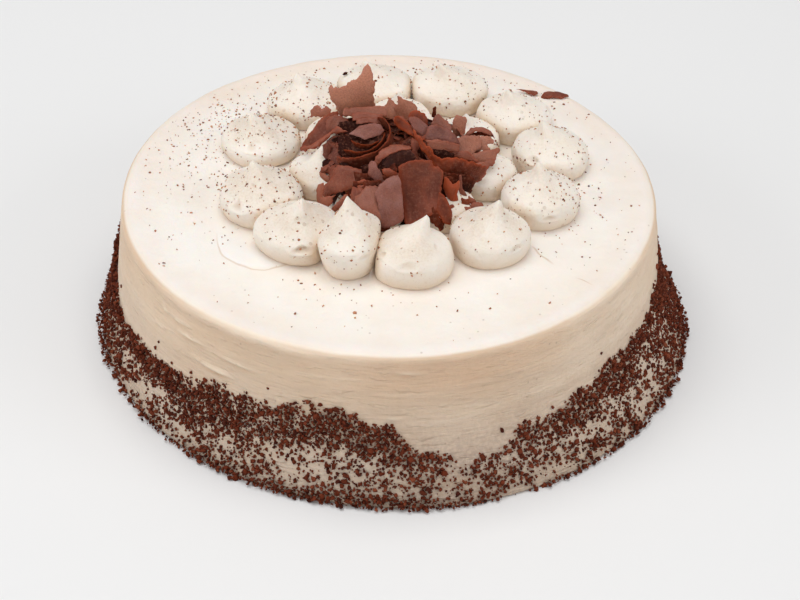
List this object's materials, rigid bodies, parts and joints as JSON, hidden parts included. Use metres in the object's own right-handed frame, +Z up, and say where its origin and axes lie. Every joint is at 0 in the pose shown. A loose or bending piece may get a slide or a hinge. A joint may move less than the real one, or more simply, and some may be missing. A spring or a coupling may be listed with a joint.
{
  "type": "tres leches cake",
  "caption": "Whole round tres leches cake in whipped cream, with a crumb-coated flaring skirt, rings of piped cream kisses and a heap of chocolate shavings.",
  "frame": {"origin": "middle of the cake's flat foot, at the middle of its box", "axes": "+Z up out of the flat top, +X to the right and +Y to the back as seen from the front"},
  "size_m": [0.2414, 0.2392, 0.1052],
  "materials": {
    "frosting": "smoothed whipped cream with a soft satin surface",
    "piped_cream": "piped whipped cream, soft satin",
    "chocolate": "milk chocolate shavings, satin with a dull bloom"
  },
  "bodies": {
    "root": {"cake": "frosting", "dollop_outer_01": "piped_cream", "dollop_outer_02": "piped_cream", "dollop_outer_03": "piped_cream", "dollop_outer_04": "piped_cream", "dollop_outer_05": "piped_cream", "dollop_outer_06": "piped_cream", "dollop_outer_07": "piped_cream", "dollop_outer_08": "piped_cream", "dollop_outer_09": "piped_cream", "dollop_outer_10": "piped_cream", "dollop_outer_11": "piped_cream", "dollop_outer_12": "piped_cream", "dollop_inner_1": "piped_cream", "dollop_inner_2": "piped_cream", "dollop_inner_3": "piped_cream", "dollop_inner_4": "piped_cream", "dollop_inner_5": "piped_cream", "dollop_inner_6": "piped_cream", "dollop_inner_7": "piped_cream", "shavings_heap": "chocolate", "shaving_stray_1": "chocolate", "shaving_stray_2": "chocolate"}
  },
  "joints": []
}
